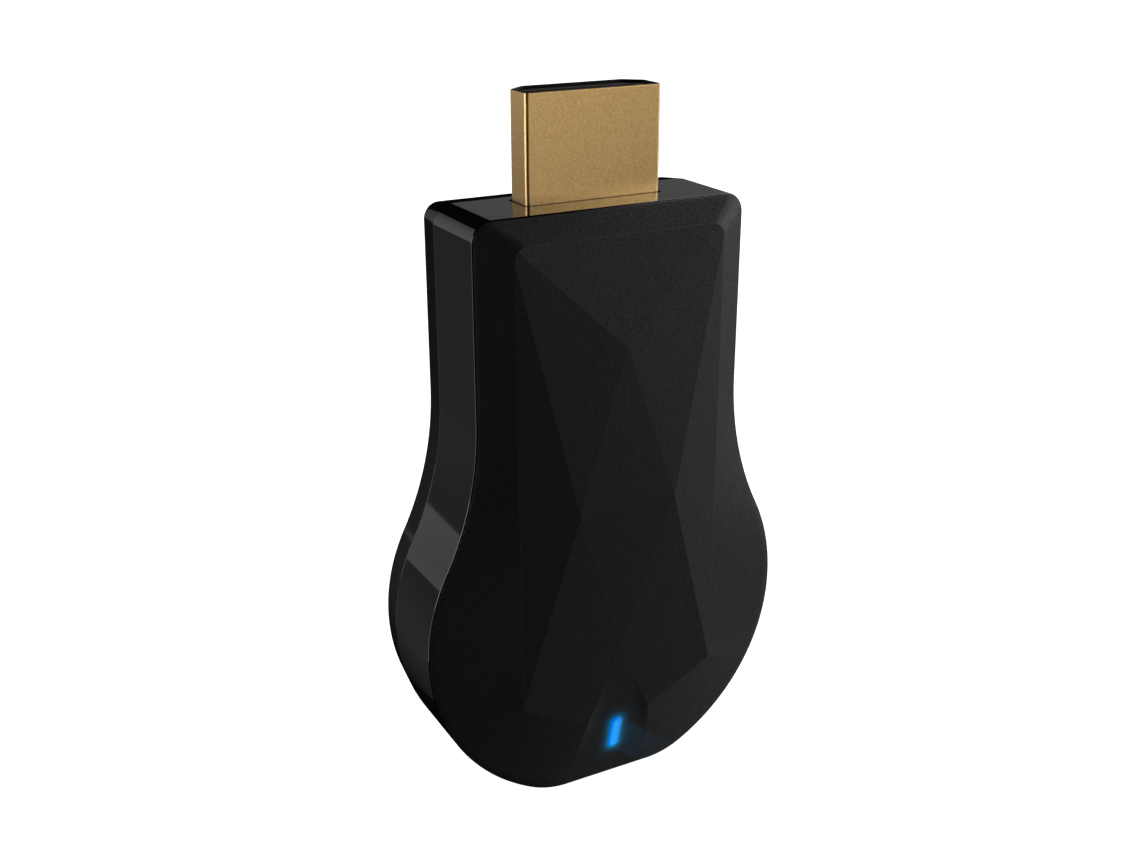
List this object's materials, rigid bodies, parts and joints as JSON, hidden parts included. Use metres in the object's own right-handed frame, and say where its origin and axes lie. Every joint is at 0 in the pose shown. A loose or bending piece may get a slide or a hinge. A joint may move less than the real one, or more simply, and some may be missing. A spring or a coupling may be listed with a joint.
{
  "type": "streaming media player",
  "caption": "Plug-in video streaming stick with a round flared lower end, a faceted matte lid, a gold video plug on top, a status light and a power socket.",
  "frame": {"origin": "middle of the video plug's section where it leaves the flat top face of the body", "axes": "+Z out along the plug, -Y out of the faceted front, +X to the side with the button"},
  "size_m": [0.0395, 0.015, 0.0697],
  "materials": {
    "lid_plastic": "fine spark-eroded grain, matte black",
    "gloss_plastic": "polished piano black",
    "plug_metal": "satin gold-coloured plating",
    "contact_gold": "bright gold plating",
    "black_plastic": "black moulded insulator",
    "steel": "plated steel",
    "board": "green solder mask over glass-fibre laminate",
    "chip_plastic": "moulded chip package",
    "pad": "soft silicone thermal pad",
    "aluminium": "pressed sheet, satin",
    "ferrite": "pressed ferrite",
    "ceramic_tan": "ceramic capacitor bodies",
    "resistor_black": "thick-film resistor bodies",
    "led": "clear-topped diode",
    "light": "clear polished light pipe, lit blue",
    "button_plastic": "polished black",
    "switch_plastic": "black switch housing",
    "plunger_plastic": "natural nylon"
  },
  "bodies": {
    "body": {"front_cover": "lid_plastic", "side_frame": "gloss_plastic", "back_cover": "gloss_plastic", "plug_shell": "plug_metal", "plug_insulator": "black_plastic", "plug_contacts_front": "contact_gold", "plug_contacts_back": "contact_gold", "power_socket_shell": "steel", "power_socket_tongue": "black_plastic", "power_socket_contacts": "contact_gold", "circuit_board": "board", "processor": "chip_plastic", "thermal_pad": "pad", "heat_spreader": "aluminium", "memory_chip": "chip_plastic", "flash_chip": "chip_plastic", "radio_chip": "chip_plastic", "radio_shield": "steel", "antenna": "steel", "regulator": "chip_plastic", "inductors": "ferrite", "crystals": "steel", "capacitors": "ceramic_tan", "resistors": "resistor_black", "status_led": "led", "light_pipe": "light", "switch_body": "switch_plastic"},
    "button": {"mode_button": "button_plastic", "switch_plunger": "plunger_plastic"}
  },
  "joints": [
    {"name": "button_press", "type": "slide", "parent": "body", "child": "button", "axis": [-1, 0, 0], "range_m": [0, 0.00025], "stiffness_N_per_m": 6400}
  ]
}
